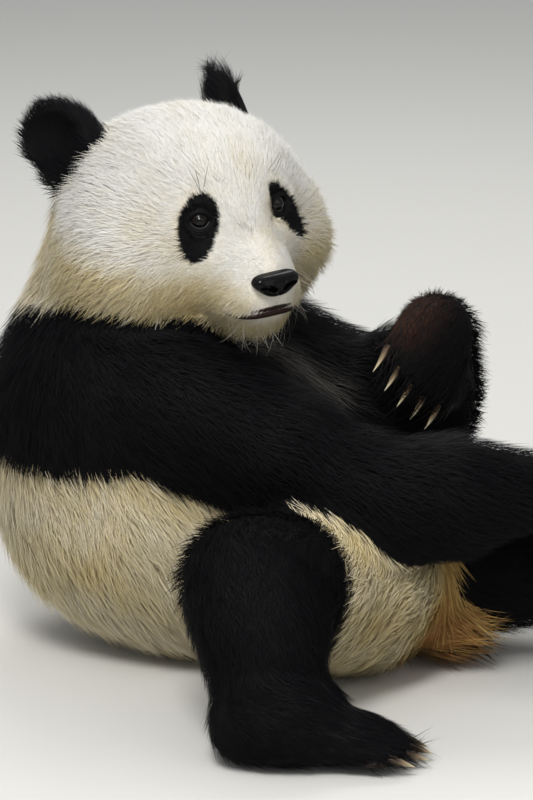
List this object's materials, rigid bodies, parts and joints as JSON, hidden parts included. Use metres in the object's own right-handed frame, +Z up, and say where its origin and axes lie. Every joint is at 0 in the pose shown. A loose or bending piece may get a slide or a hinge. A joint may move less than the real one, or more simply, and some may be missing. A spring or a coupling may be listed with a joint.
{
  "type": "giant panda model",
  "caption": "Still, life-size model of a young giant panda lounging on its rump, head turned to its right, a forearm across the belly and the other paw raised.",
  "frame": {"origin": "middle of the bounding box's base, on the floor that the panda rests on", "axes": "+Z up; the panda's trunk faces -Y and its left side is towards +X; the head is turned towards its right"},
  "size_m": [0.6876, 1.0334, 0.6751],
  "materials": {
    "coat_white": "dense soft fur, ivory white",
    "coat_tan": "dense soft fur, stained tan",
    "coat_black": "dense soft fur, black with a cool sheen",
    "coat_brown": "dense soft fur, stained red-brown",
    "bare_skin": "moist black skin, finely pebbled",
    "eye": "wet gloss, dark brown",
    "claw": "horn, satin, pale"
  },
  "bodies": {
    "root": {"belly": "coat_white", "chest": "coat_black", "ear_left": "coat_black", "ear_right": "coat_black", "eye_left": "eye", "eye_patch_left": "eye", "eye_patch_right": "eye", "eye_right": "eye", "foot_claw_left_1": "claw", "foot_claw_left_2": "claw", "foot_claw_left_3": "claw", "foot_claw_left_4": "claw", "foot_claw_left_5": "claw", "foot_claw_right_1": "claw", "foot_claw_right_2": "claw", "foot_claw_right_3": "claw", "foot_claw_right_4": "claw", "foot_claw_right_5": "claw", "foot_left": "coat_black", "foot_right": "coat_black", "forearm_left": "coat_black", "forearm_right": "coat_black", "hand_claw_left_1": "claw", "hand_claw_left_2": "claw", "hand_claw_left_3": "claw", "hand_claw_left_4": "claw", "hand_claw_left_5": "claw", "hand_claw_right_1": "claw", "hand_claw_right_2": "claw", "hand_claw_right_3": "claw", "hand_claw_right_4": "claw", "hand_claw_right_5": "claw", "hand_left": "coat_black", "hand_right": "coat_black", "head": "coat_white", "hip_left": "coat_tan", "hip_right": "coat_tan", "lid_left": "bare_skin", "lid_right": "bare_skin", "lips": "bare_skin", "neck": "coat_white", "nose": "bare_skin", "rump": "coat_tan", "shin_left": "coat_black", "shin_right": "coat_black", "tail": "coat_brown", "thigh_left": "coat_black", "thigh_right": "coat_black", "upper_arm_left": "coat_black", "upper_arm_right": "coat_black"}
  },
  "joints": []
}
